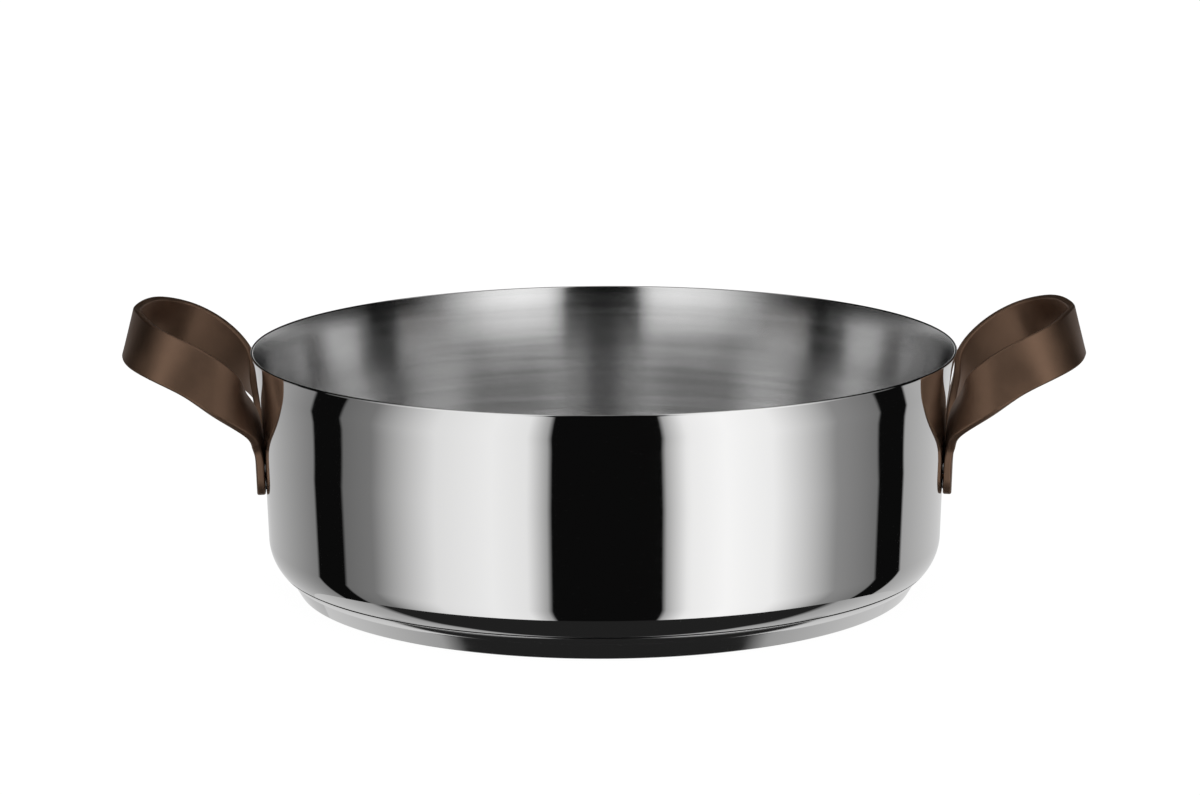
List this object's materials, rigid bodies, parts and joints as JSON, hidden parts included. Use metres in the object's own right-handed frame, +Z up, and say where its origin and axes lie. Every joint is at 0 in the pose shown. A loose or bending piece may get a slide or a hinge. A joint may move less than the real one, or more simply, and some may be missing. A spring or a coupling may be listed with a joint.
{
  "type": "braiser",
  "caption": "Low, wide two-handled stovetop pan with a flared rim, a layered base and twisted ribbon loop handles.",
  "frame": {"origin": "centre of the base's underside, where the pan stands", "axes": "+Z up along the pan's axis, +X towards the right handle, -Y towards the camera of the picture"},
  "size_m": [0.3818, 0.28, 0.1128],
  "materials": {
    "polished_steel": "mirror polish outside, fine circular satin inside",
    "core_aluminium": "plain, closed in between the pot and the cap",
    "magnetic_steel": "polished side, circular satin underside",
    "bronze_coated_steel": "satin bronze-brown coating with softened edges",
    "weld_steel": "plain spot-weld nuggets hidden behind the feet"
  },
  "bodies": {
    "root": {"pot_body": "polished_steel", "base_core": "core_aluminium", "base_cap": "magnetic_steel", "left_handle": "bronze_coated_steel", "right_handle": "bronze_coated_steel", "left_handle_welds": "weld_steel", "right_handle_welds": "weld_steel"}
  },
  "joints": []
}
